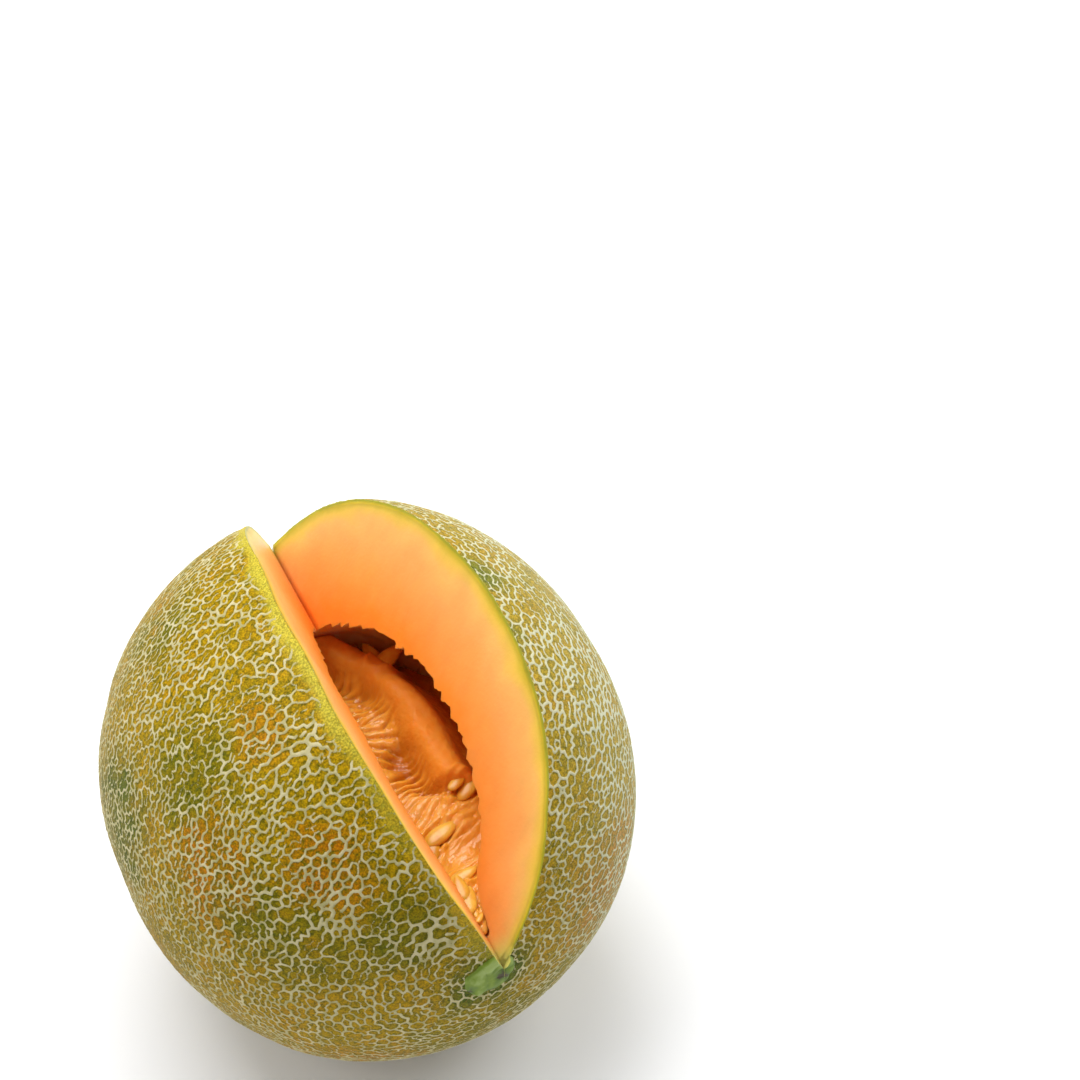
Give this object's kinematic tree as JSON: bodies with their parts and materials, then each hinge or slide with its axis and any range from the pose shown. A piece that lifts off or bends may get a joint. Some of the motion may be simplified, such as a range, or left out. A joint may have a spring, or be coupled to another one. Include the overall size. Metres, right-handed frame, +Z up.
{
  "type": "cantaloupe melon",
  "caption": "Whole netted melon lying on its side, with one wedge cut out so that the orange flesh, the seed cavity and the seeds show.",
  "frame": {"origin": "middle of the small flat spot under the fruit, where it rests", "axes": "+Z up, Y along the fruit's long axis with the stem scar at -Y, the cut wedge opens upwards"},
  "size_m": [0.1511, 0.1576, 0.1525],
  "materials": {
    "rind_and_flesh": "satin",
    "seed_bed": "wet",
    "stem_scar": "matte"
  },
  "bodies": {
    "root": {"rind_and_flesh": "rind_and_flesh", "seed_bed": "seed_bed", "stem_scar": "stem_scar"}
  },
  "joints": []
}
